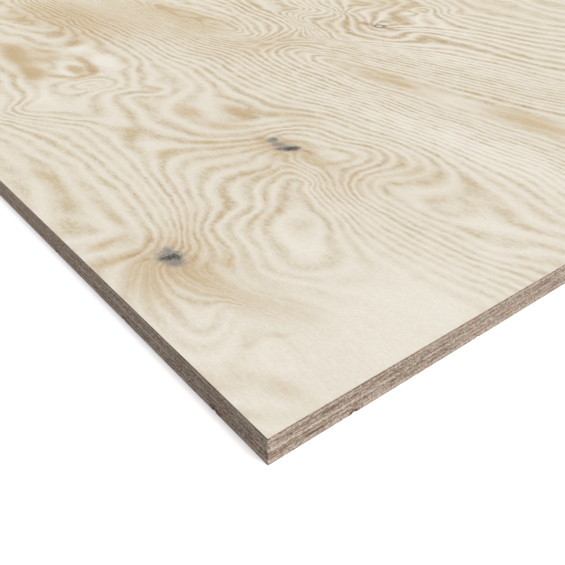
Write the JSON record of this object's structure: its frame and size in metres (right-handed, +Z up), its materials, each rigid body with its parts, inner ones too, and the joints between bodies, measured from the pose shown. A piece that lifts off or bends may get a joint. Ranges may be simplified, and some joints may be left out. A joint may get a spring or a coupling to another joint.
{
  "type": "plywood sheet",
  "caption": "Full-size softwood plywood sheet, square sawn on all edges: cross-laid veneers with pale knotty faces and brown crossbands.",
  "frame": {"origin": "centre of the underside of the sheet, on the surface that it lies on", "axes": "+X along the grain of the face veneer, which is the sheet's long side; +Y along its short side; +Z up, out of the face veneer"},
  "size_m": [2.44, 1.22, 0.018],
  "materials": {
    "face_veneer": "sanded bare softwood, pale cream with tan growth rings and dark knots",
    "crossband_veneer": "sawn bare softwood, mid brown",
    "centre_veneer": "sawn bare softwood, light tan",
    "back_veneer": "unsanded bare softwood, pale with knots"
  },
  "bodies": {
    "root": {"face_veneer": "face_veneer", "upper_crossband": "crossband_veneer", "centre_veneer": "centre_veneer", "lower_crossband": "crossband_veneer", "back_veneer": "back_veneer"}
  },
  "joints": []
}
